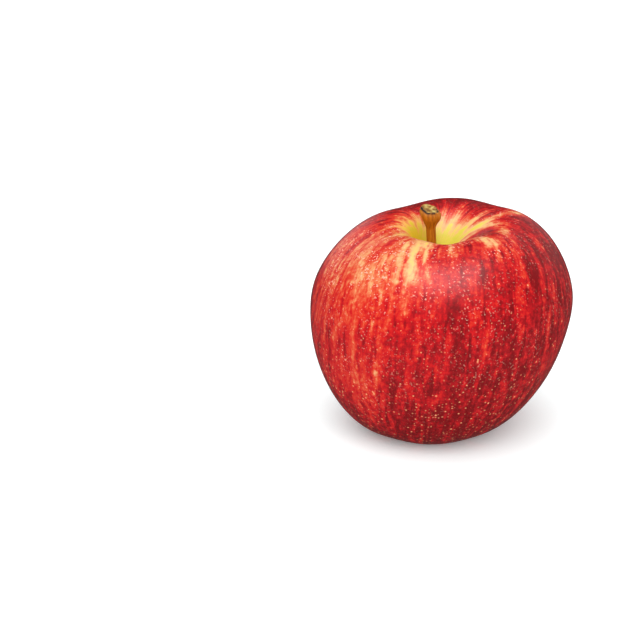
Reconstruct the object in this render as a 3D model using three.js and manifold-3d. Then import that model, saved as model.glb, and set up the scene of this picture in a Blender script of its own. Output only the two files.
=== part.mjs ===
// Red apple: a lobed fruit, the woody stem in the cavity at its top, and the dry calyx in the basin below.
// Millimetres, +Z up. The fruit stands on five small flat spots at z = 0, one under each lobe. The origin is
// on that surface, under the middle of the outline seen from above. -Y is the side with the palest skin.
import * as THREE from "three";
import Module from "manifold-3d";
import { mergeVertices } from "three/addons/utils/BufferGeometryUtils.js";

// Fruit: half its outline, from the stem to the calyx
const GIRTH_RADIUS = 39;
const GIRTH_HEIGHT = 37.9;
const CREST_RADIUS = 17.7; // the ring where the shoulder is highest
const CREST_HEIGHT = 64;
const CAVITY_DEPTH = 14; // below the crest
const FOOT_RADIUS = 14.3; // the ring that the fruit stands on
const BASIN_DEPTH = 7;

// How far each curve of the outline runs straight on before it bends
const CAVITY_FLARE = { radius: 3, height: 5 }; // up from the cavity floor
const CREST_INNER_REACH = 8;
const CREST_OUTER_REACH = 10.1;
const GIRTH_UPPER_REACH = 14.5;
const GIRTH_LOWER_REACH = 18.8;
const FOOT_OUTER_REACH = 11.1;
const FOOT_INNER_REACH = 5.9;
const BASIN_FLARE = { radius: 2, height: 2.8 }; // down from the basin floor

// Fruit: how it departs from a turned shape
const LOBES = 5;
const LOBE_AZIMUTH = THREE.MathUtils.degToRad(85); // the shoulder's lobe at the back
const FOOT_AZIMUTH = THREE.MathUtils.degToRad(-90); // the foot's lobe at the front
const LOBE_SWELL = 0.007; // share of the radius
const LOBE_RISE = 0.4; // of the crest over a lobe, and its drop in a furrow
const SHOULDER_TILT = 1.5; // the crest is this much higher on one side
const TILT_AZIMUTH = THREE.MathUtils.degToRad(53);
const CREST_LEAN = 5.3; // sideways shift of the crest from the foot, along +X
const STEM_OFFSET = 0.6; // of the cavity floor from the middle of the foot, along +X
const FURROW_LIFT = 0.5; // of the foot between two lobes
const FURROW_FADE = 12; // the higher, the closer to the foot the lift ends
const FLAT_DEPTH = 0.3; // what the flat spots take off the lobes

// Sockets in the fruit for the two other pieces
const STEM_SOCKET = { radius: 1.7, depth: 4 };
const CALYX_SOCKET = { radius: 2.8, depth: 2 };
const SOCKET_GAP = 0.25; // round each root

// Stem
const STEM_LENGTH = 21.7; // from its root in the socket to the cut end
const STEM_RADIUS = 1.42;
const STEM_END_RADIUS = 3;
const STEM_FLARE = { from: 0.67, to: 0.91 }; // shares of the length
const STEM_RIM = { from: 0.97, radius: 0.85 }; // shares of the length and of the radius where it rounds off
const STEM_OVAL = 0.06; // of the thick end, as a share of its radius
const STEM_LUMPS = 0.05; // three round the thick end
const STEM_LEAN = 1.2; // sideways from root to end, along -X
const STEM_END_SLOPE = { x: -0.22, y: 0.26 }; // the cut end faces +X and -Y a little
const STEM_END_DISH = 0.5;

// Calyx: a short ring that carries five sepals
const SEPALS = 5;
const SEPAL_LENGTH = 4.6; // downwards
const SEPAL_HALF_WIDTH = 1.5;
const SEPAL_TIP = 0.15; // share of the width at the tip
const SEPAL_FULLNESS = 0.8; // the lower, the broader the blade stays towards its tip
const SEPAL_THICKNESS = 0.7;
const SEPAL_SPREAD = 2.4; // outwards, from the ring to the tip
const SEPAL_CUP = 0.5; // how far its edges fall behind its rib
const RING_INNER_RADIUS = 1.4;
const RING_HEIGHT = 2.8;

// Fineness
const AROUND = 80;
const ALONG_CURVE = 11;
const STEM_AROUND = 20;
const STEM_ALONG = 24;
const SEPAL_ALONG = 8;
const SEPAL_ACROSS = 4;

const CAVITY_FLOOR = CREST_HEIGHT - CAVITY_DEPTH;
const STEM_ROOT = CAVITY_FLOOR - STEM_SOCKET.depth;
const CALYX_ROOT = BASIN_DEPTH + CALYX_SOCKET.depth;

const wasm = await Module();
wasm.setup();

const point = (radius, height) => new THREE.Vector2(radius, height);
const easeIn = (t) => Math.sin((Math.PI / 2) * t) ** 2;
const smoothStep = THREE.MathUtils.smoothstep;

// 1 on a lobe's ridge, -1 in the furrow beside it: broad ridges and narrow furrows.
function lobeAt(azimuth, firstLobe) {
  return 1 - 2 * Math.abs(Math.sin((LOBES / 2) * (azimuth - firstLobe))) ** 3;
}

// The four curves of the outline, with how much of the crest, girth and foot each end of a curve has.
function outlineCurves() {
  const floor = point(STEM_SOCKET.radius, CAVITY_FLOOR);
  const crest = point(CREST_RADIUS, CREST_HEIGHT);
  const girth = point(GIRTH_RADIUS, GIRTH_HEIGHT);
  const foot = point(FOOT_RADIUS, 0);
  const basin = point(CALYX_SOCKET.radius, BASIN_DEPTH);
  const bezier = (a, handleA, handleB, b) =>
    new THREE.CubicBezierCurve(a, a.clone().add(handleA), b.clone().add(handleB), b);
  const cavityRise = point(CAVITY_FLARE.radius, CAVITY_FLARE.height);
  const basinFall = point(BASIN_FLARE.radius, -BASIN_FLARE.height);
  return [
    { from: null, to: "crest", curve: bezier(floor, cavityRise, point(-CREST_INNER_REACH, 0), crest) },
    {
      from: "crest",
      to: "girth",
      curve: bezier(crest, point(CREST_OUTER_REACH, 0), point(0, GIRTH_UPPER_REACH), girth),
    },
    {
      from: "girth",
      to: "foot",
      curve: bezier(girth, point(0, -GIRTH_LOWER_REACH), point(FOOT_OUTER_REACH, 0), foot),
    },
    { from: "foot", to: null, curve: bezier(foot, point(-FOOT_INNER_REACH, 0), basinFall, basin) },
  ];
}

// The outline's points from the axis in the stem's socket to the axis in the calyx's socket. Each has its
// radius and height, its shares of crest, girth and foot, and how far the lean moves it sideways.
function fruitOutline() {
  const plain = { crest: 0, girth: 0, foot: 0 };
  const socketPoint = (radius, height, sideways) => ({ radius, height, ...plain, sideways });
  const points = [
    socketPoint(0, STEM_ROOT, STEM_OFFSET),
    socketPoint(STEM_SOCKET.radius, STEM_ROOT, STEM_OFFSET),
  ];
  outlineCurves().forEach(({ from, to, curve }, index) => {
    for (let i = index ? 1 : 0; i <= ALONG_CURVE; i++) {
      const t = i / ALONG_CURVE;
      const { x: radius, y: height } = curve.getPoint(t);
      const shares = { ...plain };
      if (from) shares[from] = 1 - easeIn(t);
      if (to) shares[to] = easeIn(t);
      const middleShift = to === "crest" ? STEM_OFFSET : 0;
      const outer = shares.crest + shares.girth + shares.foot;
      const sideways = THREE.MathUtils.lerp(middleShift, (CREST_LEAN * height) / CREST_HEIGHT, outer);
      points.push({ radius, height, ...shares, sideways });
    }
  });
  points.push(socketPoint(CALYX_SOCKET.radius, CALYX_ROOT, 0), socketPoint(0, CALYX_ROOT, 0));
  return points;
}

// A point of the outline at an azimuth, with lobes, tilted shoulder, lean and flattened feet.
function fruitPoint({ radius, height, crest, girth, foot, sideways }, azimuth) {
  const lobe = lobeAt(azimuth, LOBE_AZIMUTH);
  const footLobe = lobeAt(azimuth, FOOT_AZIMUTH);
  const swollen = radius * (1 + LOBE_SWELL * (lobe * (crest + girth) + footLobe * foot));
  const rise = LOBE_RISE * lobe + SHOULDER_TILT * Math.cos(azimuth - TILT_AZIMUTH);
  const lift = (FURROW_LIFT * (1 - footLobe)) / 2 - FLAT_DEPTH;
  const raised = Math.max(0, height + crest * rise + foot ** FURROW_FADE * lift);
  return new THREE.Vector3(swollen * Math.cos(azimuth) + sideways, swollen * Math.sin(azimuth), raised);
}

// A turned solid about +Z, whose every vertex is then placed by place(index along the outline, azimuth).
function turnedAndShaped(outline, around, place) {
  const geometry = new THREE.LatheGeometry(
    outline.map(({ radius, height }) => point(radius, height)),
    around,
  );
  const position = geometry.getAttribute("position");
  for (let i = 0; i < position.count; i++) {
    const turn = Math.floor(i / outline.length) % around;
    const place3 = place(outline[i % outline.length], (turn / around) * 2 * Math.PI);
    position.setXYZ(i, place3.x, place3.y, place3.z);
  }
  geometry.computeVertexNormals();
  return geometry;
}

// Stem outline, root to cut end: a plain shaft that flares into a thick, slightly dished end.
function stemOutline() {
  const points = [{ radius: 0, height: 0 }];
  for (let i = 0; i <= STEM_ALONG; i++) {
    const share = i / STEM_ALONG;
    const flare = smoothStep(share, STEM_FLARE.from, STEM_FLARE.to);
    const rounding = share > STEM_RIM.from ? STEM_RIM.radius : 1;
    points.push({
      radius: rounding * THREE.MathUtils.lerp(STEM_RADIUS, STEM_END_RADIUS, flare),
      height: share * STEM_LENGTH,
    });
  }
  points.push({ radius: STEM_END_RADIUS / 2, height: STEM_LENGTH - STEM_END_DISH });
  points.push({ radius: 0, height: STEM_LENGTH - STEM_END_DISH });
  return points;
}

// A stem point: slightly out of round where it is thick, leaning, with a sloping cut end.
function stemPoint({ radius, height }, azimuth) {
  const share = height / STEM_LENGTH;
  const flare = smoothStep(share, STEM_FLARE.from, STEM_FLARE.to);
  const outOfRound = 1 + flare * (STEM_OVAL * Math.cos(2 * azimuth) + STEM_LUMPS * Math.cos(3 * azimuth + 1));
  const x = radius * outOfRound * Math.cos(azimuth);
  const y = radius * outOfRound * Math.sin(azimuth);
  const clearOfSocket = Math.max(0, height - STEM_SOCKET.depth) / (STEM_LENGTH - STEM_SOCKET.depth);
  const lean = -STEM_LEAN * clearOfSocket;
  const slope = flare * (STEM_END_SLOPE.x * x + STEM_END_SLOPE.y * y);
  return new THREE.Vector3(x + STEM_OFFSET + lean, y, STEM_ROOT + height + slope);
}

// One sepal as a closed blade: a grid of points on its outer face, the same grid moved in by its thickness,
// and a rim.
function sepalGeometry(azimuth) {
  const positions = [];
  const across = SEPAL_ACROSS + 1;
  const layer = (SEPAL_ALONG + 1) * across;
  const ringMiddle = (RING_INNER_RADIUS + CALYX_SOCKET.radius - SOCKET_GAP) / 2;
  for (const depth of [0, SEPAL_THICKNESS]) {
    for (let i = 0; i <= SEPAL_ALONG; i++) {
      const along = i / SEPAL_ALONG;
      const narrowing = Math.cos((Math.PI / 2) * along) ** SEPAL_FULLNESS;
      const halfWidth = SEPAL_HALF_WIDTH * (SEPAL_TIP + (1 - SEPAL_TIP) * narrowing);
      for (let j = 0; j < across; j++) {
        const side = (2 * j) / SEPAL_ACROSS - 1;
        const cup = SEPAL_CUP * side * side * (1 - along);
        const outward = ringMiddle + SEPAL_THICKNESS / 2 + SEPAL_SPREAD * along ** 2 - cup - depth;
        const place = new THREE.Vector3(outward, side * halfWidth, BASIN_DEPTH - SEPAL_LENGTH * along);
        positions.push(place.applyAxisAngle(new THREE.Vector3(0, 0, 1), azimuth));
      }
    }
  }
  const faces = [];
  const quad = (a, b, c, d) => faces.push(a, b, c, a, c, d);
  for (let i = 0; i < SEPAL_ALONG; i++) {
    for (let j = 0; j < SEPAL_ACROSS; j++) {
      const a = i * across + j;
      const b = a + across;
      quad(a, b, b + 1, a + 1);
      quad(layer + a, layer + a + 1, layer + b + 1, layer + b);
    }
    const left = i * across;
    const right = left + SEPAL_ACROSS;
    quad(left, layer + left, layer + left + across, left + across);
    quad(right, right + across, layer + right + across, layer + right);
  }
  const tip = SEPAL_ALONG * across;
  for (let j = 0; j < SEPAL_ACROSS; j++) {
    quad(j, j + 1, layer + j + 1, layer + j);
    quad(tip + j, layer + tip + j, layer + tip + j + 1, tip + j + 1);
  }
  return new THREE.BufferGeometry().setFromPoints(positions).setIndex(faces);
}

// A closed geometry as a solid that can be joined.
function solidOf(geometry) {
  const bare = new THREE.BufferGeometry();
  bare.setAttribute("position", geometry.getAttribute("position"));
  bare.setIndex(geometry.getIndex());
  const merged = mergeVertices(bare);
  const mesh = new wasm.Mesh({
    numProp: 3,
    vertProperties: new Float32Array(merged.getAttribute("position").array),
    triVerts: new Uint32Array(merged.getIndex().array),
  });
  return new wasm.Manifold(mesh);
}

function geometryOf(solid) {
  const { vertProperties, triVerts } = solid.getMesh();
  const geometry = new THREE.BufferGeometry();
  geometry.setAttribute("position", new THREE.BufferAttribute(vertProperties, 3));
  geometry.setIndex(new THREE.BufferAttribute(triVerts, 1));
  geometry.computeVertexNormals();
  return geometry;
}

// The calyx: a ring in the socket under the fruit, and the sepals that hang and spread from it.
function calyxGeometry() {
  const outer = CALYX_SOCKET.radius - SOCKET_GAP;
  const lower = CALYX_ROOT - RING_HEIGHT;
  const section = [
    point(RING_INNER_RADIUS, lower),
    point(outer, lower),
    point(outer, CALYX_ROOT),
    point(RING_INNER_RADIUS, CALYX_ROOT),
    point(RING_INNER_RADIUS, lower),
  ];
  const ring = new THREE.LatheGeometry(section, STEM_AROUND).rotateX(Math.PI / 2);
  let calyx = solidOf(ring);
  for (let i = 0; i < SEPALS; i++) {
    calyx = calyx.add(solidOf(sepalGeometry(LOBE_AZIMUTH + ((i + 0.5) / SEPALS) * 2 * Math.PI)));
  }
  return geometryOf(calyx);
}

const skin = new THREE.MeshStandardMaterial({ color: "#b8232a", roughness: 0.38, metalness: 0 });
const bark = new THREE.MeshStandardMaterial({ color: "#9a5a1c", roughness: 0.7, metalness: 0 });
const dryLeaf = new THREE.MeshStandardMaterial({ color: "#5a4630", roughness: 0.85, metalness: 0 });

function named(name, geometry, material) {
  const mesh = new THREE.Mesh(geometry, material);
  mesh.name = name;
  return mesh;
}

const apple = new THREE.Group();
apple.add(
  named("fruit", turnedAndShaped(fruitOutline().reverse(), AROUND, fruitPoint), skin),
  named("stem", turnedAndShaped(stemOutline(), STEM_AROUND, stemPoint), bark),
  named("calyx", calyxGeometry(), dryLeaf),
);

// The lean puts the outline's middle beside the foot's, so the pieces are moved over the origin together.
const middle = new THREE.Box3().setFromObject(apple).getCenter(new THREE.Vector3());
apple.children.forEach((mesh) => mesh.position.set(-middle.x, -middle.y, 0));

export default apple;
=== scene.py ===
# %% [markdown]
# # A red apple, dressed over its solids
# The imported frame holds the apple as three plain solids: the fruit, its woody stem and the dry calyx
# underneath. Each one is replaced here by a finer surface in the same place, worked out with numpy as whole
# arrays, and each gets a material built from nodes. Sizes are in millimetres until a mesh is made, and
# Blender's unit is the metre.

# %% Load the frame
import math

import bpy
import numpy as np
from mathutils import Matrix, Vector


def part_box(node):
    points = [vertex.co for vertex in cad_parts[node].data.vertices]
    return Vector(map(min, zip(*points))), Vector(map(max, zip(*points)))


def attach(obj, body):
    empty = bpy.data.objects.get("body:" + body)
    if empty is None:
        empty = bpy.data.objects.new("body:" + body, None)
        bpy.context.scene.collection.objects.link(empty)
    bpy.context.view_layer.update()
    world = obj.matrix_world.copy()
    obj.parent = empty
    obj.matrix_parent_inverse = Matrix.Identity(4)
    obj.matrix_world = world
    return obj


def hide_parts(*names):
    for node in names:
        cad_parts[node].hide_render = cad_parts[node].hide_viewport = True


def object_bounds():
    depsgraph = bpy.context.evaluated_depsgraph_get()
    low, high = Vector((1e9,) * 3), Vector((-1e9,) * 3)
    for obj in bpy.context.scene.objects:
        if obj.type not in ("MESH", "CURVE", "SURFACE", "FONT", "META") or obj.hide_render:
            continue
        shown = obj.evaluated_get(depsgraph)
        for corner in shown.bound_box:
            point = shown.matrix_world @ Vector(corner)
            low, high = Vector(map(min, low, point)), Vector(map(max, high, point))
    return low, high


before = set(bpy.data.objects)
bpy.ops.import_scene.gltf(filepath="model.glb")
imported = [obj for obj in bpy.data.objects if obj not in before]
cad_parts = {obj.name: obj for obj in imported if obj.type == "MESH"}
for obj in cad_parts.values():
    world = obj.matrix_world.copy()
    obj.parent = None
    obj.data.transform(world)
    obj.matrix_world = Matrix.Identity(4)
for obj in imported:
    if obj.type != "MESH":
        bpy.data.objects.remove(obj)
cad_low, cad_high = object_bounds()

MM = 0.001
print("solids:", sorted(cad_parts), "size in mm:", [round(x / MM, 1) for x in cad_high - cad_low])

# %% [markdown]
# ## Helpers for every piece
# Colours are read off as sRGB hex values, but shaders count in linear light, so one function converts them.
# Every piece here is a closed skin: rings of points joined by quads, with each end closed by a fan of
# triangles to one point. Blender could spin or loft such a shape, but a grid of points keeps the two
# parameters of the surface at hand, and the skin's pattern needs them later.

# %% Colour, skin and piece


def linear(hex_colour):
    """An sRGB hex colour as linear red, green, blue and alpha, by the sRGB curve."""
    srgb = np.array([int(hex_colour[i : i + 2], 16) for i in (1, 3, 5)]) / 255
    light = np.where(srgb <= 0.04045, srgb / 12.92, ((srgb + 0.055) / 1.055) ** 2.4)
    return (*light.tolist(), 1.0)


def closed_skin(rings):
    """A closed skin over rings, an array (ring, around, 3): (points, quads, triangles).

    Neighbouring rings are joined by quads. The first and the last ring are closed by a fan to their middle.
    If the volume under the faces, a sixth of the sum of a . (b x c), is negative, every face is turned round.
    """
    count, around = rings.shape[:2]
    points = np.concatenate([rings.reshape(-1, 3), rings[[0, -1]].mean(1)])
    start = np.arange(count - 1)[:, None] * around
    turn = np.arange(around)
    after = (turn + 1) % around
    corners = [start + turn, start + turn + around, start + after + around, start + after]
    quads = np.stack(corners, -1).reshape(-1, 4)
    last = (count - 1) * around
    first_fan = np.stack([np.full(around, count * around), turn, after], -1)
    last_fan = np.stack([np.full(around, count * around + 1), last + after, last + turn], -1)
    fans = np.concatenate([first_fan, last_fan])
    triangles = np.concatenate([quads[:, :3], quads[:, [0, 2, 3]], fans])
    a, b, c = np.moveaxis(points[triangles], 1, 0)
    if (a * np.cross(b, c)).sum() < 0:
        quads, fans = quads[:, ::-1], fans[:, ::-1]
    return points, quads, fans


def with_ends(values):
    """A value for each point of closed_skin: the grid's own, then the means of the first and last rings."""
    flat = values.reshape(values.shape[0] * values.shape[1], -1)
    return np.concatenate([flat, values[[0, -1]].mean(1).reshape(2, -1)])


def add_piece(name, skins, material, replaces=(), attributes=None):
    """One object at the origin made of closed skins in mm, smooth, with attributes, riding on the apple."""
    offsets = np.cumsum([0] + [len(points) for points, _, _ in skins])
    points = np.concatenate([points for points, _, _ in skins])
    faces = []
    for offset, (_, quads, fans) in zip(offsets, skins):
        faces += (quads + offset).tolist() + (fans + offset).tolist()
    mesh = bpy.data.meshes.new(name)
    mesh.from_pydata(points * MM, [], faces)
    mesh.shade_smooth()
    for key, values in (attributes or {}).items():
        kind, field = ("FLOAT_VECTOR", "vector") if values.shape[-1] == 3 else ("FLOAT", "value")
        attribute = mesh.attributes.new(key, kind, "POINT")
        attribute.data.foreach_set(field, values.astype(np.float32).ravel())
    mesh.materials.append(material)
    piece = bpy.data.objects.new(name, mesh)
    bpy.context.scene.collection.objects.link(piece)
    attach(piece, "root")
    if replaces:
        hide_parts(*replaces)
    triangles = sum(2 * len(quads) + len(fans) for _, quads, fans in skins)
    size = np.ptp(points, axis=0)
    print(f"{name}: {triangles} triangles, {size[0]:.1f} x {size[1]:.1f} x {size[2]:.1f} mm")


# %% [markdown]
# ## The fruit's outline
# An apple is nearly a turned shape. Half its outline is four smooth curves that meet where it is highest (the
# crest round the stem), widest (the girth) and lowest (the foot it stands on), and end in the two hollows.
# Bezier curves with level or upright handles at those places meet without a kink. A curve object could hold
# them, but as an array they also give each ring its arc length, along which the skin's streaks run.

# %% Outline of the fruit
GIRTH_RADIUS, GIRTH_HEIGHT = 39.0, 37.9
CREST_RADIUS, CREST_HEIGHT = 17.7, 64.0
FOOT_RADIUS = 14.3
CAVITY_DEPTH, BASIN_DEPTH = 14.0, 7.0
STEM_HOLE, CALYX_HOLE = 1.3, 2.8
RINGS, AROUND = 224, 400


def bezier(start, leave, arrive, end, t):
    """A cubic Bezier curve at t: from start towards start + leave, and into end from end + arrive."""
    start, end = np.array(start), np.array(end)
    b, c = start + leave, end + arrive
    t = t[:, None]
    return (1 - t) ** 3 * start + 3 * t * (1 - t) ** 2 * b + 3 * t**2 * (1 - t) * c + t**3 * end


def fruit_outline():
    """Rows of arc length, radius, height and the shares of crest, girth and foot, evenly spaced along it.

    Along a curve, a share eases from 0 to 1 as the sine squared of a quarter turn. Arc length starts at the
    stem.
    """
    t = np.linspace(0, 1, 500)
    rise, fall, none = np.sin(np.pi / 2 * t) ** 2, np.cos(np.pi / 2 * t) ** 2, 0 * t
    cavity_floor = (STEM_HOLE, CREST_HEIGHT - CAVITY_DEPTH)
    crest, girth = (CREST_RADIUS, CREST_HEIGHT), (GIRTH_RADIUS, GIRTH_HEIGHT)
    foot, basin = (FOOT_RADIUS, 0.0), (CALYX_HOLE, BASIN_DEPTH)
    curves = [
        (bezier(cavity_floor, (3, 5), (-8, 0), crest, t), rise, none, none),
        (bezier(crest, (10.1, 0), (0, 14.5), girth, t), fall, rise, none),
        (bezier(girth, (0, -18.8), (11.1, 0), foot, t), none, fall, rise),
        (bezier(foot, (-5.9, 0), (2, -2.8), basin, t), none, none, fall),
    ]
    rows = np.concatenate([np.column_stack(curve) for curve in curves])
    steps = np.hypot(*np.diff(rows[:, :2], axis=0).T)
    length = np.concatenate([[0], np.cumsum(steps)])
    even = np.linspace(0, length[-1], RINGS)
    return np.column_stack([even] + [np.interp(even, length, column) for column in rows.T])


outline = fruit_outline()
arc = outline[:, 0]
CREST_ARC = arc[outline[:, 3].argmax()]
GIRTH_ARC = arc[outline[:, 4].argmax()]
FOOT_ARC = arc[outline[:, 5].argmax()]
print(f"outline {arc[-1]:.1f} mm: crest at {CREST_ARC:.1f}, girth at {GIRTH_ARC:.1f}, foot at {FOOT_ARC:.1f}")

# %% [markdown]
# ## The fruit's surface
# The fruit departs from a turned shape in four ways: five soft lobes, a shoulder that is higher on one side,
# a lean, and small flat spots where its weight rests. Sculpting would give them too, but each is a short
# formula in azimuth and arc length, so the sizes can be those of the solid. A faint unevenness, which the
# solid hasn't, keeps the girth from looking machined. The finished form is scaled to the solid's own width.

# %% Surface of the fruit
LOBES = 5
LOBE_AZIMUTH, FOOT_AZIMUTH = math.radians(85), math.radians(-90)
LOBE_SWELL, LOBE_RISE = 0.007, 0.4
SHOULDER_TILT, TILT_AZIMUTH = 1.5, math.radians(53)
CREST_LEAN, STEM_OFFSET = 5.3, 0.6
FURROW_LIFT, FURROW_FADE, FLAT_DEPTH = 0.5, 12, 0.3
WAVES, WAVE_HEIGHT = 14, 0.05
azimuth = np.arange(AROUND) / AROUND * 2 * np.pi


def lobe_at(angle, first):
    """1 on a lobe's ridge and -1 in the furrow beside it: 1 - 2 |sin(5/2 of the angle)| cubed."""
    return 1 - 2 * np.abs(np.sin(LOBES / 2 * (angle - first))) ** 3


def low_waves(seed):
    """Faint, broad unevenness: a sum of cosines in azimuth times cosines in arc length, of random phase."""
    draw = np.random.default_rng(seed)
    around, along = draw.integers(2, 9, WAVES), draw.uniform(1, 5, WAVES)
    phase_around, phase_along = draw.uniform(0, 2 * np.pi, (2, WAVES))
    a = np.cos(around * azimuth[:, None] + phase_around)
    b = np.cos(2 * np.pi * along * arc[:, None] / arc[-1] + phase_along)
    return WAVE_HEIGHT * b @ a.T


def fruit_surface():
    """The fruit as (ring, around, 3): the outline turned about its axis, lobed, tilted, leaning and flat.

    The flat spots are where the foot's lobes would pass below the table: there the height is cut at 0.
    """
    _, radius, height, crest, girth, foot = (column[:, None] for column in outline.T)
    lobe, foot_lobe = lobe_at(azimuth, LOBE_AZIMUTH), lobe_at(azimuth, FOOT_AZIMUTH)
    outer = crest + girth + foot
    swollen = radius * (1 + LOBE_SWELL * (lobe * (crest + girth) + foot_lobe * foot))
    swollen = swollen + girth * low_waves(seed=4)
    lift = FURROW_LIFT * (1 - foot_lobe) / 2 - FLAT_DEPTH
    raised = height + crest * (LOBE_RISE * lobe + SHOULDER_TILT * np.cos(azimuth - TILT_AZIMUTH))
    raised = np.maximum(0, raised + foot**FURROW_FADE * lift)
    middle = np.where(arc[:, None] < CREST_ARC, STEM_OFFSET, 0.0)
    sideways = middle + outer * (CREST_LEAN * height / CREST_HEIGHT - middle)
    return np.stack([swollen * np.cos(azimuth) + sideways, swollen * np.sin(azimuth), raised], -1)


fruit = fruit_surface()
solid_low, solid_high = (np.array(corner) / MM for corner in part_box("fruit"))
fruit_low, fruit_high = fruit.min((0, 1)), fruit.max((0, 1))
fit = (solid_high - solid_low)[0] / (fruit_high - fruit_low)[0]
foot_centre = -(fruit_low + fruit_high)[:2] / 2 * fit
place = np.array([*foot_centre, 0])
fruit = fruit * fit + place
print(f"fruit fits the solid at {fit:.4f}, its foot is centred on {foot_centre.round(2)} mm")

# %% [markdown]
# ## Where the skin is red
# Red colour forms in the skin where the sun reaches it, in streaks that run from stem to calyx. Where it
# hasn't formed, the yellow ground shows: in the stem's cavity, on the shaded cheek, and in pale bands over
# the shoulder. It could be painted by hand, but then the paint would be a picture. Here one number at each
# point of the grid, the redness, says how far the colour has gone, from 0, yellow, through orange to 1, deep
# crimson. The broad patches are soft bumps in azimuth and arc length, placed and weighed by comparing renders
# with the photograph. On the side it doesn't show they are made up. Three patches are painted light, not skin
# colour: painted shade under the foot and along the left rim, and a painted sheen on the front shoulder. The
# streaks come later, from the nodes.

# %% Redness of the skin
CHEEK = 0.835
# azimuth and half width in degrees, arc length and half length in mm, change of redness;
# a half width or a half length of 400 reaches all round or all along
PATCHES = {
    "golden spot": (-136, 9, 40, 8, -0.12),
    "pale cheek": (-136, 38, 34, 15, -0.38),
    "amber cheek": (-119, 11, 47, 9, -0.09),
    "far shoulder": (-175, 20, 36, 12, -0.31),
    "left flank": (-168, 10, 54, 11, -0.20),
    "orange column": (-144, 13, 62, 20, -0.22),
    "coral foot": (-127, 11, 76, 18, -0.28),
    "front lip": (-105, 50, 22, 6, -0.25),
    "lip streak": (-91, 3.5, 26, 8, -0.26),
    "lip edge": (-57, 7, 24, 7, -0.44),
    # painted highlight: paler skin where the soft sheen on the front shoulder lies
    "painted sheen": (-91, 14, 38, 8, -0.06),
    "right lip": (-52, 26, 26, 8, -0.15),
    "right girth": (-50, 15, 58, 12, 0.05),
    "ruby cheek": (-58, 14, 44, 9, -0.05),
    "front girth": (-84, 10, 57, 11, 0.05),
    "front glow": (-99, 6, 55, 7, -0.05),
    "dusky shoulder": (-8, 22, 45, 16, 0.07),
    # painted shade: the left rim made deeper red and darker, as where shade falls
    "painted shade on the left rim": (176, 15, 64, 22, 0.18),
    "sunny side": (-45, 45, 60, 40, -0.02),
    "sunny back": (90, 70, 55, 50, 0.08),
    "dusky back": (85, 75, 25, 12, 0.05),
    # painted shade: the underside all round made deeper red and darker, where little light reaches
    "painted shade under the foot": (-90, 400, 106, 22, 0.12),
    "calyx basin": (-90, 400, 124, 8, -0.50),
}
# a band keeps its full strength to this share of its length from its middle, then fades
BAND_FULL, BAND_FADE = 0.4, 0.03
# azimuth and arc length at both ends, half width in degrees, change of redness
BANDS = {
    "pale streak": (-125, 20, -111, 39, 4.6, -0.30),
    "inner streak": (-116, 20, -103, 38, 2.2, -0.30),
    "outer streak": (-134, 21, -121, 36, 2.4, -0.18),
    "upper band": (8, 13, 18, 28, 8.0, -0.56),
    "lower band": (16, 12, -26, 23.5, 11.0, -0.54),
    "dark streak": (-170.5, 29, -166.5, 38, 3.0, 0.25),
    "dark fleck": (-144, 25, -141, 35, 3.0, 0.25),
}
# arc length in mm where the cavity's yellow ends, how far its spikes reach, and its fade before and after
YELLOW_ENDS, YELLOW_SPIKES = 15.5, 1.3
FADE_BEFORE, FADE_AFTER = 6.5, 8.5
# azimuth, half width, arc length and half length of a patch, and how far it moves the end of the yellow in mm
YELLOW_SHIFTS = {
    "far left": (178, 38, 16, 400, 4.5),
    "far back": (75, 50, 16, 400, -1.0),
    "near right": (-28, 32, 16, 400, -8.0),
}


def turned(angle):
    """An angle in degrees brought to -180 up to 180."""
    return (angle + 180) % 360 - 180


def soft_patch(at, half_width, along, half_length):
    """A soft bump: exp of minus the squared distances from its middle, each over its half size."""
    across = turned(np.degrees(azimuth) - at) / half_width
    return np.exp(-(across**2) - ((arc[:, None] - along) / half_length) ** 2)


def soft_band(at_start, along_start, at_end, along_end, half_width):
    """A soft stripe between two points: a bump across it, that fades in and out past its ends."""
    share = (arc[:, None] - along_start) / (along_end - along_start)
    across = turned(np.degrees(azimuth) - at_start - share * (at_end - at_start)) / half_width
    past_end = np.maximum(np.abs(share - 0.5) - BAND_FULL, 0)
    return np.exp(-(across**2)) * np.exp(-(past_end**2) / BAND_FADE)


def ragged(angle, seed, least, most):
    """A ragged line round an axis, mostly within -1 and 1: a sum of cosines of whole turns, random phase."""
    turns = np.arange(least, most)
    phase = np.random.default_rng(seed).uniform(0, 2 * np.pi, len(turns))
    return np.cos(turns * angle[..., None] + phase).sum(-1) / np.sqrt(len(turns))


def ease(low, high, values):
    """0 below low, 1 above high, and 3t^2 - 2t^3 between."""
    t = np.clip((values - low) / (high - low), 0, 1)
    return t * t * (3 - 2 * t)


yellow_end = YELLOW_ENDS + sum(shift * soft_patch(*patch) for *patch, shift in YELLOW_SHIFTS.values())
yellow_end = yellow_end + YELLOW_SPIKES * ragged(azimuth, seed=8, least=8, most=26)
in_cavity = 1 - ease(yellow_end - FADE_BEFORE, yellow_end + FADE_AFTER, arc[:, None])
redness = CHEEK + sum(change * soft_patch(*patch) for *patch, change in PATCHES.values())
redness = redness + sum(change * soft_band(*band) for *band, change in BANDS.values())
redness = redness * (1 - in_cavity)
print(f"redness from {redness.min():.2f} to {redness.max():.2f}, mean {redness.mean():.2f}")

# %% [markdown]
# ## Nodes for the materials
# Each material is a small tree of nodes round a Principled shader. It could be built by hand in the shader
# editor, but from a script each node is one line: its kind, its inputs and its settings. An input that gets a
# node is linked to it, and any other value is set on the socket itself.

# %% Node helper


def set_inputs(tree, node, inputs):
    """Sets a node's inputs. A node or a socket is linked, a node by the first of its outputs in use."""
    for key, value in inputs.items():
        if isinstance(value, bpy.types.Node):
            value = next(output for output in value.outputs if output.enabled)
        if isinstance(value, bpy.types.NodeSocket):
            tree.links.new(value, node.inputs[key])
        else:
            node.inputs[key].default_value = value


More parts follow.
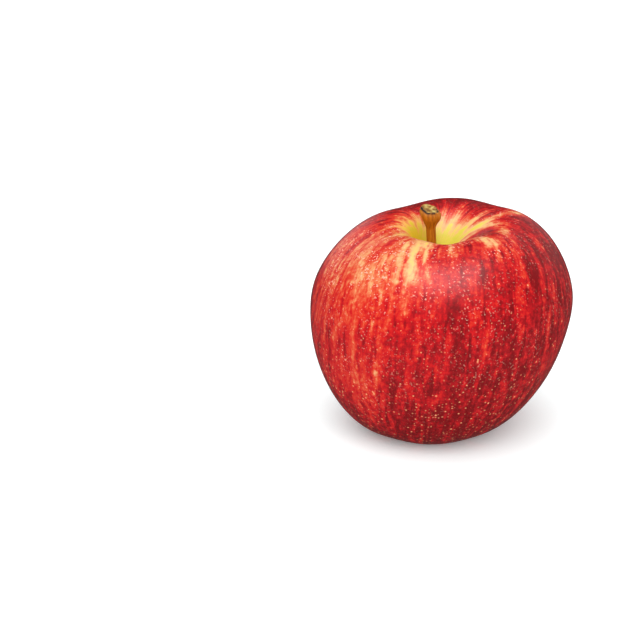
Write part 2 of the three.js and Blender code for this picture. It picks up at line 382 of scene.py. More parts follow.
def add(tree, kind, inputs=None, **settings):
    """Adds a node with its settings and its inputs."""
    made = tree.nodes.new(kind)
    for key, value in settings.items():
        setattr(made, key, value)
    set_inputs(tree, made, inputs or {})
    return made


def new_material(name):
    """An empty node material, with its tree and a Principled shader linked to the output."""
    material = bpy.data.materials.new(name)
    material.use_nodes = True
    tree = material.node_tree
    tree.nodes.clear()
    shader = add(tree, "ShaderNodeBsdfPrincipled")
    add(tree, "ShaderNodeOutputMaterial", {"Surface": shader})
    return material, tree, shader


def fill_ramp(ramp, colours):
    """Puts the colours of {position: hex} on a colour ramp node."""
    stops = ramp.color_ramp.elements
    for position in list(colours)[1:-1]:
        stops.new(position)
    for stop, (position, colour) in zip(stops, colours.items()):
        stop.position = position
        stop.color = linear(colour)
    return ramp


def per_metre(millimetres):
    """The scale that makes a pattern repeat about every so many millimetres on coordinates in metres."""
    return 1 / (millimetres * MM)


# %% [markdown]
# ## Streaks of the skin
# The red isn't even: flames, stripes, fine lines, blotches and short dashes run along the skin, each a noise
# stretched along the meridian and added to the redness. They read an attribute that holds the heading as a
# circle and the arc length, both in millimetres, so they close round the fruit. A wave texture could draw
# stripes too, but all of one width. Short dark dashes lie over them, and each large cork dot has a paler
# halo. The sum is looked up on a ramp from yellow to crimson, whose colours were chosen and then corrected by
# comparing renders with the photograph.

# %% Streaks of the skin
SKIN_COLOURS = {
    0.00: "#cdc443",
    0.05: "#d4c44a",
    0.12: "#dfb36c",
    0.22: "#d9a26e",
    0.32: "#d28a5a",
    0.44: "#cd5736",
    0.55: "#c62e1c",
    0.69: "#b80e14",
    0.84: "#940811",
    1.00: "#74060c",
}
# the colour multiplied over the cavity's shaded left wall: painted shade and bounced yellow light
CAVITY_SHADE_TINT = "#ffe45a"
# width across and length along the meridian in mm, share of the redness, octaves and their fall
STREAKS = {
    "flames": (9, 45, 0.40, 2, 0.5),
    "stripes": (4.0, 22, 0.50, 2, 0.5),
    "lines": (1.5, 15, 0.50, 2, 0.5),
    "blotches": (3.0, 8.5, 0.68, 5, 0.6),
    "dashes": (1.2, 5, 0.25, 2, 0.5),
}
MOTTLE_SIZE, MOTTLE_SHARE = 1.4, 0.85
DARK_DASH_SIZE = (1.7, 1.7, 7.0)
DARK_DASH_FROM, DARK_DASH_TO, DARK_DASH_CHANGE = 0.54, 0.70, 0.24
HALO_CHANGE = -0.16
PALEST_BLEND = 0.15


def streaked_colour(tree, place, halo):
    """The skin's colour: the redness of the point, moved up and down by streaks and mottle, on a ramp.

    The streaks are weaker where the contrast is low. The redness is kept above the palest that the point
    allows, with a soft corner, and painted shade, deepening the cavity's left wall to gold, is multiplied
    over the colour.
    """
    grain = add(tree, "ShaderNodeAttribute", attribute_name="grain").outputs["Vector"]
    red = add(tree, "ShaderNodeAttribute", attribute_name="redness").outputs["Fac"]
    strength = add(tree, "ShaderNodeAttribute", attribute_name="contrast").outputs["Fac"]
    least = add(tree, "ShaderNodeAttribute", attribute_name="palest").outputs["Fac"]
    golden = add(tree, "ShaderNodeAttribute", attribute_name="cavity_shade").outputs["Fac"]
    fine = {"Vector": place, "Scale": per_metre(MOTTLE_SIZE), "Detail": 4, "Roughness": 0.65}
    mottle = add(tree, "ShaderNodeTexNoise", fine)
    change = add(tree, "ShaderNodeMath", {0: mottle, 1: MOTTLE_SHARE}, operation="MULTIPLY")
    for width, length, share, octaves, fall in STREAKS.values():
        scaled = add(tree, "ShaderNodeVectorMath", {0: grain, 1: (width, width, length)}, operation="DIVIDE")
        stretched = {"Vector": scaled, "Scale": 1, "Detail": octaves, "Roughness": fall}
        noise = add(tree, "ShaderNodeTexNoise", stretched)
        change = add(tree, "ShaderNodeMath", {0: noise, 1: share, 2: change}, operation="MULTIPLY_ADD")
    middle = (MOTTLE_SHARE + sum(share for _, _, share, _, _ in STREAKS.values())) / 2
    change = add(tree, "ShaderNodeMath", {0: change, 1: middle}, operation="SUBTRACT")
    red = add(tree, "ShaderNodeMath", {0: change, 1: strength, 2: red}, operation="MULTIPLY_ADD")
    scaled = add(tree, "ShaderNodeVectorMath", {0: grain, 1: DARK_DASH_SIZE}, operation="DIVIDE")
    dash = add(tree, "ShaderNodeTexNoise", {"Vector": scaled, "Scale": 1, "Detail": 1})
    darker = {"From Min": DARK_DASH_FROM, "From Max": DARK_DASH_TO, "To Max": DARK_DASH_CHANGE}
    dash = add(tree, "ShaderNodeMapRange", {"Value": dash, **darker})
    red = add(tree, "ShaderNodeMath", {0: dash, 1: strength, 2: red}, operation="MULTIPLY_ADD")
    red = add(tree, "ShaderNodeMath", {0: halo, 1: HALO_CHANGE, 2: red}, operation="MULTIPLY_ADD")
    red = add(tree, "ShaderNodeMath", {0: red, 1: least, 2: PALEST_BLEND}, operation="SMOOTH_MAX")
    colour = fill_ramp(add(tree, "ShaderNodeValToRGB", {"Fac": red}), SKIN_COLOURS)
    # painted shade and bounced light: the cavity's left wall deepened to gold
    tinted = {"Factor": golden, "A": colour, "B": linear(CAVITY_SHADE_TINT)}
    return add(tree, "ShaderNodeMix", tinted, data_type="RGBA", blend_type="MULTIPLY")


for kind, (width, length, *_) in STREAKS.items():
    print(f"{kind}: {width} mm wide, {length} mm long")

# %% [markdown]
# ## Cork dots of the skin
# Apple skin breathes through pores that close with pale cork. Small ones crowd towards the foot, and larger
# ones stand sparsely all over. Thousands of small discs would be heavy, so a Voronoi pattern places one point
# in each cell of the skin, and the cell's random colour decides how large and how pale its dot is.

# %% Cork dots of the skin
# spacing in mm, the radius in mm for the smallest and the largest draw, and what is added to it at the foot
DOTS = {"small": (0.95, -0.40, 0.11, 0.20), "large": (2.9, -0.4, 0.29, 0.07)}
FAINTEST_DOT, STRONGEST_DOT = 0.3, 1.1
DOT_EDGE_OUTSIDE, DOT_EDGE_INSIDE = -0.12, 0.14
HALO_REACH = 1.1


def cork_dots(tree, place):
    """(dot, halo): up to 1 on a cork dot, and 1 fading out within about a millimetre of a large one.

    A dot's radius is drawn from the red of the cell's colour and its strength from the green. A radius below
    0 leaves the cell empty.
    """
    low = add(tree, "ShaderNodeAttribute", attribute_name="lowness").outputs["Fac"]
    dots = []
    for spacing, least, most, growth in DOTS.values():
        cell = add(tree, "ShaderNodeTexVoronoi", {"Vector": place, "Scale": per_metre(spacing)})
        draw = add(tree, "ShaderNodeSeparateColor", {"Color": cell.outputs["Color"]})
        radius = add(tree, "ShaderNodeMapRange", {"Value": draw, "To Min": least, "To Max": most})
        radius = add(tree, "ShaderNodeMath", {0: low, 1: growth, 2: radius}, operation="MULTIPLY_ADD")
        within = add(tree, "ShaderNodeMath", {0: cell, 1: -spacing, 2: radius}, operation="MULTIPLY_ADD")
        drawn = {"Value": draw.outputs["Green"], "To Min": FAINTEST_DOT, "To Max": STRONGEST_DOT}
        strength = add(tree, "ShaderNodeMapRange", drawn)
        edge = {"From Min": DOT_EDGE_OUTSIDE, "From Max": DOT_EDGE_INSIDE, "To Max": strength}
        dots.append(add(tree, "ShaderNodeMapRange", {"Value": within, **edge}))
    halo = add(tree, "ShaderNodeMapRange", {"Value": within, "From Min": -HALO_REACH, "From Max": 0})
    return add(tree, "ShaderNodeMath", {0: dots[0], 1: dots[1]}, operation="MAXIMUM"), halo


print("spacing of the dots in mm:", [spacing for spacing, *_ in DOTS.values()])

# %% [markdown]
# ## Apple skin
# The skin is a thin clear wax over coloured cells. Its gloss is soft, because the wax isn't quite smooth, and
# its index is near that of other waxes, 1.45. The specular level is set below the shader's usual 0.5, for a
# weaker gloss. Over the streaks lie fine pale flecks, in drifts, and the cork dots, which stand up a little,
# so they feed the bump too.

# %% Apple skin
FLECK_SIZE, DRIFT_SIZE, GRIT_SIZE = 0.65, 8.0, 1.2
FLECK_FROM, FLECK_TO = 0.62, 0.72
DRIFT_FROM, DRIFT_TO, DRIFT_STRENGTH = 0.38, 0.65, 0.5
FLECK_COLOUR, CORK_COLOUR = "#eab49c", "#ea9e6e"
WAX = {"Roughness": 0.38, "IOR": 1.45, "Specular IOR Level": 0.15}
SKIN_BUMP_STRENGTH, SKIN_BUMP_DEPTH = 0.5, 0.05


def apple_skin():
    """Waxy apple skin: red streaks over a yellow ground, cork dots and fine flecks under a soft gloss."""
    material, tree, shader = new_material("waxy_apple_skin")
    place = add(tree, "ShaderNodeTexCoord").outputs["Object"]
    dot, halo = cork_dots(tree, place)
    colour = streaked_colour(tree, place, halo)
    fleck = add(tree, "ShaderNodeTexNoise", {"Vector": place, "Scale": per_metre(FLECK_SIZE), "Detail": 1})
    fleck = add(tree, "ShaderNodeMapRange", {"Value": fleck, "From Min": FLECK_FROM, "From Max": FLECK_TO})
    drift = add(tree, "ShaderNodeTexNoise", {"Vector": place, "Scale": per_metre(DRIFT_SIZE), "Detail": 2})
    gathered = {"From Min": DRIFT_FROM, "From Max": DRIFT_TO, "To Max": DRIFT_STRENGTH}
    drift = add(tree, "ShaderNodeMapRange", {"Value": drift, **gathered})
    fleck = add(tree, "ShaderNodeMath", {0: fleck, 1: drift}, operation="MULTIPLY")
    amount = add(tree, "ShaderNodeAttribute", attribute_name="flecked").outputs["Fac"]
    fleck = add(tree, "ShaderNodeMath", {0: fleck, 1: amount}, operation="MULTIPLY")
    flecked_over = {"Factor": fleck, "A": colour, "B": linear(FLECK_COLOUR)}
    colour = add(tree, "ShaderNodeMix", flecked_over, data_type="RGBA")
    dotted_over = {"Factor": dot, "A": colour, "B": linear(CORK_COLOUR)}
    colour = add(tree, "ShaderNodeMix", dotted_over, data_type="RGBA")
    grit = add(tree, "ShaderNodeTexNoise", {"Vector": place, "Scale": per_metre(GRIT_SIZE), "Detail": 3})
    height = add(tree, "ShaderNodeMath", {0: grit, 1: dot})
    relief = {"Height": height, "Strength": SKIN_BUMP_STRENGTH, "Distance": SKIN_BUMP_DEPTH * MM}
    bump = add(tree, "ShaderNodeBump", relief)
    set_inputs(tree, shader, {"Base Color": colour, "Normal": bump, **WAX})
    return material


skin = apple_skin()
print(skin.name, "has", len(skin.node_tree.nodes), "nodes")

# %% [markdown]
# ## The fruit's piece
# The skin's nodes read seven attributes, one value for each point of the grid. The grain's heading is the
# azimuth about a point behind the stem, so that the streaks fan out over the shoulder and run straight down
# below the girth. Lowness says how near the foot a point is, contrast how strong its streaks are, one more
# where painted shade and bounced light deepen the cavity's left wall to gold, flecked how many flecks it has,
# and palest how yellow it may get. The ends of the grid go on into two hidden sockets, where the stem and the
# calyx grow out.

# %% The fruit's piece
SOCKET_DEPTH = 2.0
STREAK_POLE = 8.0
# no streak's width goes into this radius a whole number of times, or its noise would go flat in four places
GRAIN_RADIUS = 38.2
LOWEST_BEFORE_FOOT = 15
CAVITY_CONTRAST, CONTRAST_FROM, CONTRAST_TO = 0.3, 10, 22
# azimuth, half width, arc length and half length of a patch, and the share of the streaks that it takes away
CALM_PATCHES = {"pale cheek": (-142, 42, 36, 17, 0.45), "coral foot": (-138, 25, 68, 18, 0.30)}
# azimuth, half width, arc length and half length of the painted shade that deepens the cavity's left wall to
# gold
SHADED_CAVITY_WALL = (178, 60, 9, 13)
PALEST = 0.1
# how many flecks there are at the shoulder and at the foot, on pale red and on deep red
FLECKS_HIGH, FLECKS_LOW = 2.2, 0.3
FLECKS_ON_PALE, FLECKS_ON_DEEP = 1.8, 0.6
RED_SKIN, DEEP_RED = (0.1, 0.35), (0.35, 0.8)
# patches as above, with the change of the flecks
FLECK_PATCHES = {"lip": (-95, 60, 23, 6, 1.2)}
BARE_PATCHES = {"back": (80, 85, 20, 15, -0.8), "right cheek": (-38, 32, 42, 26, -0.5)}


def patches(table):
    """The sum of the soft bumps of a table, each times its last number."""
    return sum(share * soft_patch(*patch) for *patch, share in table.values())


down = arc[:, None]
pole = STREAK_POLE * ease(0, CREST_ARC, down) * (1 - ease(CREST_ARC, GIRTH_ARC, down))
radius = outline[:, 1:2]
heading = np.arctan2(radius * np.sin(azimuth) - pole, radius * np.cos(azimuth))
round_fruit = (GRAIN_RADIUS * np.cos(heading), GRAIN_RADIUS * np.sin(heading))
lowness = np.broadcast_to(ease(CREST_ARC, FOOT_ARC - LOWEST_BEFORE_FOOT, down), redness.shape)
contrast = CAVITY_CONTRAST + (1 - CAVITY_CONTRAST) * ease(CONTRAST_FROM, CONTRAST_TO, down)
on_red = FLECKS_ON_PALE + (FLECKS_ON_DEEP - FLECKS_ON_PALE) * ease(*DEEP_RED, redness)
at_height = FLECKS_HIGH + (FLECKS_LOW - FLECKS_HIGH) * lowness
flecked = ease(*RED_SKIN, redness) * on_red * at_height
flecked = flecked * (1 + patches(FLECK_PATCHES)) * (1 + patches(BARE_PATCHES))
fields = {
    "grain": np.stack(np.broadcast_arrays(*round_fruit, down), -1),
    "redness": redness,
    "lowness": lowness,
    "contrast": contrast * (1 - patches(CALM_PATCHES)),
    "cavity_shade": soft_patch(*SHADED_CAVITY_WALL),
    "flecked": flecked,
    "palest": PALEST * (1 - in_cavity),
}
into_socket = np.array([0, 0, SOCKET_DEPTH])
fruit_rings = np.concatenate([fruit[:1] - into_socket, fruit, fruit[-1:] + into_socket])
with_sockets = {key: np.concatenate([values[:1], values, values[-1:]]) for key, values in fields.items()}
attributes = {key: with_ends(values) for key, values in with_sockets.items()}
add_piece("fruit_skin", [closed_skin(fruit_rings)], skin, ["fruit"], attributes)

# %% [markdown]
# ## The stem
# The stalk is wood with a thin bark. It comes out of the cavity as a plain shaft, leans a little, and swells
# into the knob where it broke off the branch. The knob's end is a rough, slightly dished break. A bevelled
# curve could carry the shaft, but not the break. Here the side of the stem is rings along its length and the
# break is rings drawn inwards, so that one skin covers both.

# %% Surface of the stem
STEM_ROOT = 46.0
STEM_LENGTH, STEM_RADIUS, STEM_END_RADIUS = 22.3, 1.42, 3.0
FLARE_FROM, FLARE_TO = 0.72, 0.94
RIM_FROM, RIM_ROUNDING = 0.955, 0.3
STEM_LEAN, STEM_SOCKET = 1.2, 4.0
END_SLOPE_X, END_SLOPE_Y, END_DISH, END_ROUGHNESS = -0.22, 0.26, 0.5, 0.12
STEM_OVAL, STEM_LUMPS = 0.06, 0.05
STEM_RINGS, END_RINGS, STEM_AROUND = 120, 26, 96
GROOVES, GROOVE_DEPTH = 13, 0.03
stem_angle = np.arange(STEM_AROUND) / STEM_AROUND * 2 * np.pi


def stem_surface():
    """(rings, share of the length, share of the radius) of the stem, from its root to the break's middle.

    The radius grows from the shaft's to the knob's, with shallow grooves along it. The rings of the break
    have the full length and a falling share of the radius. The knob's slope lifts a point by its own x and y.
    """
    share = np.concatenate([np.linspace(0, 1, STEM_RINGS), np.ones(END_RINGS)])[:, None]
    inward = np.concatenate([np.ones(STEM_RINGS), np.linspace(0.97, 0.04, END_RINGS)])[:, None]
    flare = ease(FLARE_FROM, FLARE_TO, share)
    rim = np.sqrt(1 - RIM_ROUNDING * ease(RIM_FROM, 1.0, share))
    radius = (STEM_RADIUS + (STEM_END_RADIUS - STEM_RADIUS) * flare) * rim * inward
    grooves = GROOVE_DEPTH * np.cos(GROOVES * stem_angle + 2 * np.sin(3 * share)) * ease(0.1, 0.3, share)
    lumps = 1 + flare * (STEM_OVAL * np.cos(2 * stem_angle) + STEM_LUMPS * np.cos(3 * stem_angle + 1))
    radius = (radius + grooves * inward) * lumps
    x, y = radius * np.cos(stem_angle), radius * np.sin(stem_angle)
    height = share * STEM_LENGTH
    clear = np.maximum(0, height - STEM_SOCKET) / (STEM_LENGTH - STEM_SOCKET)
    on_break = np.broadcast_to(np.where(share < 1, 0.0, 1 - inward**2), radius.shape)
    rough_rim = ragged(stem_angle, 11, 2, 9) * ease(0.93, 1.0, share) * ease(0.3, 0.9, inward)
    rough_break = ragged(3 * inward + stem_angle, 12, 3, 12) * on_break
    slope = flare * (END_SLOPE_X * x + END_SLOPE_Y * y)
    z = STEM_ROOT + height + slope + END_ROUGHNESS * (rough_rim + rough_break) - END_DISH * on_break
    rings = np.stack([x + STEM_OFFSET - STEM_LEAN * clear, y, z], -1)
    return rings, np.broadcast_to(share, radius.shape), np.broadcast_to(inward, radius.shape)


stem, stem_share, stem_inward = stem_surface()
stem = stem * fit + place
print(f"stem's end stands {stem[..., 2].max():.1f} mm above the table")

# %% [markdown]
# ## Bark and break
# The bark is thin, dry and matt, with fine cracks along the stem, so its noise is stretched along the length.
# The break shows paler wood in crumbs, and its rim is blackened on one side. Three noises and two ramps are
# enough, with the share of the radius to tell bark from break. A painted texture would need a UV map.

# %% Bark
BARK_COLOURS = {0.25: "#723e06", 0.42: "#9a5506", 0.58: "#b26508", 0.78: "#c27c1c"}
BREAK_COLOURS = {0.32: "#3a2408", 0.43: "#80541c", 0.54: "#a5803c", 0.68: "#c0b066"}
BLACKENED = "#1d140c"
FIBRE_SIZE = (0.7, 0.7, 4.0)
CRUMB_SIZE, BLACK_SIZE = 1.3, 2.2
BLACK_SIDE = (-0.014, -0.03, 0)
BREAK_FROM, BREAK_TO = 0.99, 0.93
RIM_INSIDE, RIM_OUTSIDE = 0.68, 0.84
BLACK_LOW, BLACK_HIGH = 0.975, 0.995
BLACK_FROM, BLACK_TO = 0.47, 0.56
BARK_BUMP_STRENGTH, BARK_BUMP_DEPTH = 0.5, 0.25


def bark_and_break():
    """Dry apple wood: brown bark with fine long cracks, a paler broken end and a blackened rim round it."""
    material, tree, shader = new_material("apple_stalk_bark")
    grain = add(tree, "ShaderNodeAttribute", attribute_name="grain").outputs["Vector"]
    inward = add(tree, "ShaderNodeAttribute", attribute_name="inward").outputs["Fac"]
    share = add(tree, "ShaderNodeAttribute", attribute_name="share").outputs["Fac"]
    place = add(tree, "ShaderNodeTexCoord").outputs["Object"]
    scaled = add(tree, "ShaderNodeVectorMath", {0: grain, 1: FIBRE_SIZE}, operation="DIVIDE")
    fibre = add(tree, "ShaderNodeTexNoise", {"Vector": scaled, "Scale": 1, "Detail": 4})
    bark = fill_ramp(add(tree, "ShaderNodeValToRGB", {"Fac": fibre}), BARK_COLOURS)
    crumb = add(tree, "ShaderNodeTexNoise", {"Vector": place, "Scale": per_metre(CRUMB_SIZE), "Detail": 4})
    broken = fill_ramp(add(tree, "ShaderNodeValToRGB", {"Fac": crumb}), BREAK_COLOURS)
    on_break = {"Value": inward, "From Min": BREAK_FROM, "From Max": BREAK_TO}
    on_break = add(tree, "ShaderNodeMapRange", on_break)
    colour = add(tree, "ShaderNodeMix", {"Factor": on_break, "A": bark, "B": broken}, data_type="RGBA")
    near_rim = {"Value": inward, "From Min": RIM_INSIDE, "From Max": RIM_OUTSIDE}
    near_rim = add(tree, "ShaderNodeMapRange", near_rim)
    high = add(tree, "ShaderNodeMapRange", {"Value": share, "From Min": BLACK_LOW, "From Max": BLACK_HIGH})
    torn = add(tree, "ShaderNodeTexNoise", {"Vector": place, "Scale": per_metre(BLACK_SIZE), "Detail": 2})
    side = add(tree, "ShaderNodeVectorMath", {0: grain, 1: BLACK_SIDE}, operation="DOT_PRODUCT")
    torn = add(tree, "ShaderNodeMath", {0: torn, 1: side.outputs["Value"]})
    torn = add(tree, "ShaderNodeMapRange", {"Value": torn, "From Min": BLACK_FROM, "From Max": BLACK_TO})
    black = add(tree, "ShaderNodeMath", {0: near_rim, 1: high}, operation="MULTIPLY")
    black = add(tree, "ShaderNodeMath", {0: black, 1: torn}, operation="MULTIPLY")
    blackened = {"Factor": black, "A": colour, "B": linear(BLACKENED)}
    colour = add(tree, "ShaderNodeMix", blackened, data_type="RGBA")
    height = add(tree, "ShaderNodeMath", {0: fibre, 1: crumb})
    relief = {"Height": height, "Strength": BARK_BUMP_STRENGTH, "Distance": BARK_BUMP_DEPTH * MM}
    bump = add(tree, "ShaderNodeBump", relief)
    matt = {"Roughness": 0.6, "Specular IOR Level": 0.2}
    set_inputs(tree, shader, {"Base Color": colour, "Normal": bump, **matt})
    return material


# %% The stem's piece
round_stem = (STEM_END_RADIUS * np.cos(stem_angle), STEM_END_RADIUS * np.sin(stem_angle))
stem_grain = np.stack(np.broadcast_arrays(*round_stem, stem_share * STEM_LENGTH), -1)
stem_fields = {"grain": stem_grain, "inward": stem_inward, "share": stem_share}
attributes = {key: with_ends(values) for key, values in stem_fields.items()}
add_piece("stem_stalk", [closed_skin(stem)], bark_and_break(), ["stem"], attributes)

# %% [markdown]
# ## The calyx
# Under the fruit, the flower's dry remains sit in the basin: a ring, five sepals that hang and curl from it,
# and the withered threads of the stamens inside. The photograph doesn't show them, so they follow what such
# apples usually have. Leaves are often flat planes with a picture of a leaf, but these are thick and curled.
# A sepal is a flat oval carried along a curved rib, narrowing to its tip. A thread is a small circle carried
# along a bent line. Both are the same surface with different sections.

# %% Sepals, ring and threads
SEPALS, SEPAL_LENGTH, SEPAL_SPREAD = 5, 4.6, 2.4
SEPAL_HALF_WIDTH, SEPAL_THICKNESS = 1.5, 0.5
RING_INNER, RING_OUTER, RING_HEIGHT, RING_LIFT = 1.4, 2.55, 2.8, 0.6
RING_MIDDLE, RING_HALF = (RING_INNER + RING_OUTER) / 2, (RING_OUTER - RING_INNER) / 2
THREADS, THREAD_LENGTH, THREAD_RADIUS = 14, 3.6, 0.13


def carried(path, side, out, half_width, half_depth, around):
    """An oval carried along a path: middle + half_width cos(angle) side + half_depth sin(angle) out."""
    angle = np.arange(around) / around * 2 * np.pi
    across = half_width[:, None] * np.cos(angle)
    deep = half_depth[:, None] * np.sin(angle)
    return path[:, None] + across[..., None] * side[:, None] + deep[..., None] * out[:, None]


def sepal(turn, curl):
    """One sepal: its rib runs down and spreads with the square of its length, then its tip curls outwards."""
    t = np.linspace(0, 1, 26)
    reach = RING_MIDDLE + SEPAL_SPREAD * t**2 + curl * t**6
    drop = BASIN_DEPTH - SEPAL_LENGTH * (t - 0.25 * curl * t**5)
    path = reach[:, None] * np.array([math.cos(turn), math.sin(turn), 0])
    path = path + drop[:, None] * np.array([0, 0, 1])
    along = np.gradient(path, axis=0)
    along /= np.linalg.norm(along, axis=1)[:, None]
    side = np.broadcast_to([-math.sin(turn), math.cos(turn), 0], path.shape)
    half_width = SEPAL_HALF_WIDTH * (0.1 + 0.9 * np.cos(np.pi / 2 * t) ** 0.8)
    half_width = half_width * (1 + 0.06 * np.sin(17 * t + turn))
    half_depth = SEPAL_THICKNESS / 2 * (1 - 0.6 * t)
    return carried(path, side, np.cross(along, side), half_width, half_depth, 20)


def ring():
    """The calyx's ring: a rounded oval section turned about the axis, as rings that run round the section."""
    section = np.linspace(0, 2 * np.pi, 25)[:-1]
    turn = np.linspace(0, 2 * np.pi, 49)[:-1]
    radius = RING_MIDDLE + RING_HALF * np.cos(section)[:, None]
    height = BASIN_DEPTH + RING_LIFT + RING_HEIGHT / 2 * np.sin(section)[:, None]
    return np.stack([radius * np.cos(turn), radius * np.sin(turn), height + 0 * turn], -1)


def thread(turn, draw):
    """One withered stamen: a thread that leaves the ring inwards, droops, and ends in a small swelling."""
    t = np.linspace(0, 1, 14)
    bend = draw.uniform(-0.8, 0.8, 2)
    reach = RING_INNER + 0.3 - 0.9 * t + 0.5 * bend[0] * t**2
    angle = turn + bend[1] * t
    height = BASIN_DEPTH + 1.2 - THREAD_LENGTH * draw.uniform(0.75, 1.0) * t
    path = np.stack([reach * np.cos(angle), reach * np.sin(angle), height], -1)
    side = np.broadcast_to([1.0, 0, 0], path.shape)
    out = np.broadcast_to([0, 1.0, 0], path.shape)
    thick = THREAD_RADIUS * (1 + 1.3 * np.exp(-(((t - 0.93) / 0.05) ** 2)))
    return carried(path, side, out, thick, thick, 8)


def ring_skin(rings):
    """A skin for rings that close on themselves in both directions, with no fans."""
    count, around = rings.shape[:2]
    i, j = np.meshgrid(np.arange(count), np.arange(around), indexing="ij")
    next_i, next_j = (i + 1) % count, (j + 1) % around
    corners = [i * around + j, i * around + next_j, next_i * around + next_j, next_i * around + j]
    return rings.reshape(-1, 3), np.stack(corners, -1).reshape(-1, 4), np.zeros((0, 3), int)


def moved(points_quads_fans):
    """A skin scaled and moved as the fruit was."""
    points, quads, fans = points_quads_fans
    return points * fit + place, quads, fans


# %% [markdown]
# ## Dry sepal
# A withered sepal is a dead leaf: brown and olive, matt, finely veined, and covered in grey down. The down is
# too fine to model, so the shader's sheen stands for it. The veins are a noise stretched along the sepals,
# which hang nearly upright.

# %% Dry sepal
SEPAL_COLOURS = {0.3: "#2e2114", 0.48: "#5b4427", 0.62: "#7d6a3f", 0.78: "#a89a6c"}
VEIN_SIZE, VEIN_STRETCH = 0.8, (1.0, 1.0, 0.35)
SEPAL_BUMP_STRENGTH, SEPAL_BUMP_DEPTH = 0.6, 0.2


def dry_sepal():
    """Withered leaf: brown and olive, matt and finely veined, with grey down that shows as a faint sheen."""
    material, tree, shader = new_material("withered_sepal")
    place = add(tree, "ShaderNodeTexCoord").outputs["Object"]
    stretch = add(tree, "ShaderNodeMapping", {"Vector": place, "Scale": VEIN_STRETCH})
    vein = add(tree, "ShaderNodeTexNoise", {"Vector": stretch, "Scale": per_metre(VEIN_SIZE), "Detail": 4})
    colour = fill_ramp(add(tree, "ShaderNodeValToRGB", {"Fac": vein}), SEPAL_COLOURS)
    relief = {"Height": vein, "Strength": SEPAL_BUMP_STRENGTH, "Distance": SEPAL_BUMP_DEPTH * MM}
    bump = add(tree, "ShaderNodeBump", relief)
    downy = {"Roughness": 0.85, "Sheen Weight": 0.3}
    set_inputs(tree, shader, {"Base Color": colour, "Normal": bump, **downy})
    return material


# %% The calyx's pieces
withered = dry_sepal()
draw = np.random.default_rng(21)
turns = LOBE_AZIMUTH + (np.arange(SEPALS) + 0.5) / SEPALS * 2 * np.pi
sepals = [closed_skin(sepal(turn, draw.uniform(0.1, 0.5))) for turn in turns]
sepal_skins = [moved(skin) for skin in [ring_skin(ring()), *sepals]]
add_piece("calyx_sepals", sepal_skins, withered, ["calyx"])
threads = [closed_skin(thread(turn, draw)) for turn in np.arange(THREADS) / THREADS * 2 * np.pi]
add_piece("calyx_threads", [moved(skin) for skin in threads], withered)

# %% [markdown]
# ## Table
# The apple stands on white paper, bright enough to come out white, so that only the soft shadow at the foot
# shows. The paper is a little cool, which takes back some of the red that the apple throws on it. Mirrored in
# the skin it would be a haze over the lower half, which a photographer can take out with a polarising filter.
# So the gloss doesn't see the paper, and sees a fainter sheet in its place, which is left as a pale rim.

# %% Table
TABLE_HALF = 3.0
TABLE_GAP, GLINT_GAP = 0.02, 0.01
TABLE_GLOW, GLINT_GLOW = 0.17, 0.12


def add_sheet(name, gap, colour, glow):
    """A square sheet under the apple, that far below it in mm, matt, and glowing a little by itself."""
    corners = [(-1, -1), (1, -1), (1, 1), (-1, 1)]
    points = [(TABLE_HALF * x, TABLE_HALF * y, cad_low.z - gap * MM) for x, y in corners]
    mesh = bpy.data.meshes.new(name)
    mesh.from_pydata(points, [], [(0, 1, 2, 3)])
    paper, tree, shader = new_material(name + "_paper")
    matt = {"Roughness": 0.9, "Specular IOR Level": 0.1}
    glowing = {"Emission Color": linear("#ffffff"), "Emission Strength": glow}
    set_inputs(tree, shader, {"Base Color": linear(colour), **matt, **glowing})
    paper.cycles.emission_sampling = "NONE"
    mesh.materials.append(paper)
    sheet = bpy.data.objects.new(name, mesh)
    bpy.context.scene.collection.objects.link(sheet)
    print(name, "at", round(points[0][2] / MM, 2), "mm")
    return sheet


table = add_sheet("table", TABLE_GAP, "#f0f9f9", TABLE_GLOW)
table.visible_glossy = False
glint = add_sheet("table_glint", GLINT_GAP, "#000000", GLINT_GLOW)
glint.visible_camera = glint.visible_diffuse = glint.visible_shadow = False

# %% [markdown]
# ## Lights
# The lights imitate a bright tent of cloth: one wide soft light above, one in front, and pale light from all
# round. Those light the colour alone. Three more lights show only in the gloss: one above for the soft sheen
# on the shoulder, and one behind on each side for the pale rims. In a studio the same lamps would do both.
# Kept apart, the sheen can be set without changing the colour.

# %% Lights
LIGHT_AIM = (0, 0, 0.03)
TENT_GLOW = 0.85


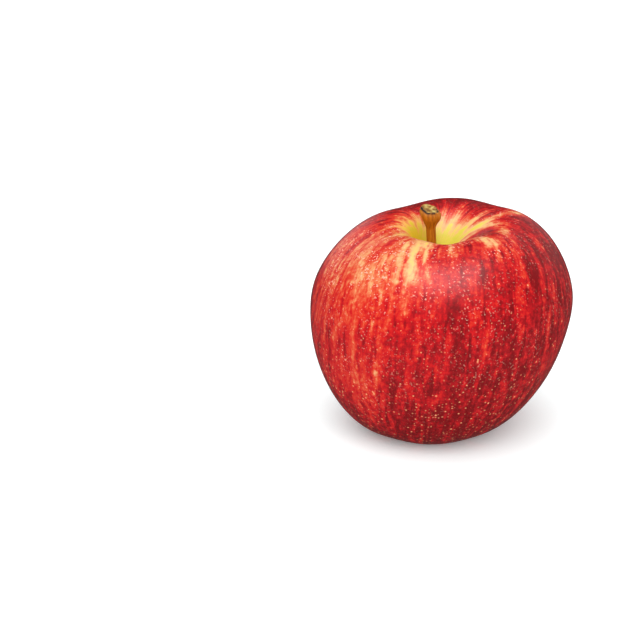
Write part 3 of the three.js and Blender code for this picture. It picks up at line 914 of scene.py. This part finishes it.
def soft_light(name, at, size, watts):
    """A square area light of that size, placed and turned towards the middle of the apple."""
    data = bpy.data.lights.new(name, "AREA")
    data.size, data.energy = size, watts
    lamp = bpy.data.objects.new(name, data)
    lamp.location = at
    x, y, z = np.array(LIGHT_AIM) - np.array(at)
    lamp.rotation_euler = (math.acos(-z / math.hypot(x, y, z)), 0, math.atan2(y, x) - math.pi / 2)
    bpy.context.scene.collection.objects.link(lamp)
    return lamp


soft_light("tent_top", (-0.22, -0.1, 1.0), 1.4, 5.5).visible_glossy = False
soft_light("tent_front", (0.1, -1.2, 1.2), 1.4, 15.5).visible_glossy = False
soft_light("sheen_top", (-0.03, -0.24, 0.95), 0.6, 15.0).visible_diffuse = False
soft_light("sheen_right", (1.1, 1.3, 0.75), 2.0, 7.0).visible_diffuse = False
soft_light("sheen_left", (-0.6, 1.4, 0.42), 0.8, 2.5).visible_diffuse = False
world = bpy.data.worlds.new("tent")
world.use_nodes = True
cloth = world.node_tree.nodes["Background"]
set_inputs(world.node_tree, cloth, {"Color": linear("#ffffff"), "Strength": TENT_GLOW})
world.cycles_visibility.glossy = False
bpy.context.scene.world = world
bpy.context.scene.view_settings.view_transform = "Standard"

# %% [markdown]
# ## Camera
# The photograph was taken from a little above, with the apple right of the middle. The elevation was read
# from the apple's outline and the cavity's opening, to a few degrees. The lens follows from how many
# millimetres one of the photograph's pixels covers if the apple is as wide as the solid, which is a guess.

# %% Camera
VIEW_ELEVATION = math.radians(20)
VIEW_DISTANCE = 700 * MM
PIXEL = 0.299 * MM
PICTURE = 625
AIM_FROM_FOOT = np.array([-35.12, 0, 35.56])
aim = (place + AIM_FROM_FOOT) * MM
back = np.array([0, -math.cos(VIEW_ELEVATION), math.sin(VIEW_ELEVATION)])
camera_data = bpy.data.cameras.new("camera")
camera_data.lens = camera_data.sensor_width * VIEW_DISTANCE / (PICTURE * PIXEL)
camera = bpy.data.objects.new("camera", camera_data)
camera.location = aim + VIEW_DISTANCE * back
camera.rotation_euler = (math.pi / 2 - VIEW_ELEVATION, 0, 0)
bpy.context.scene.collection.objects.link(camera)
bpy.context.scene.camera = camera
print(f"camera {VIEW_DISTANCE:.2f} m away, lens {camera_data.lens:.1f} mm")
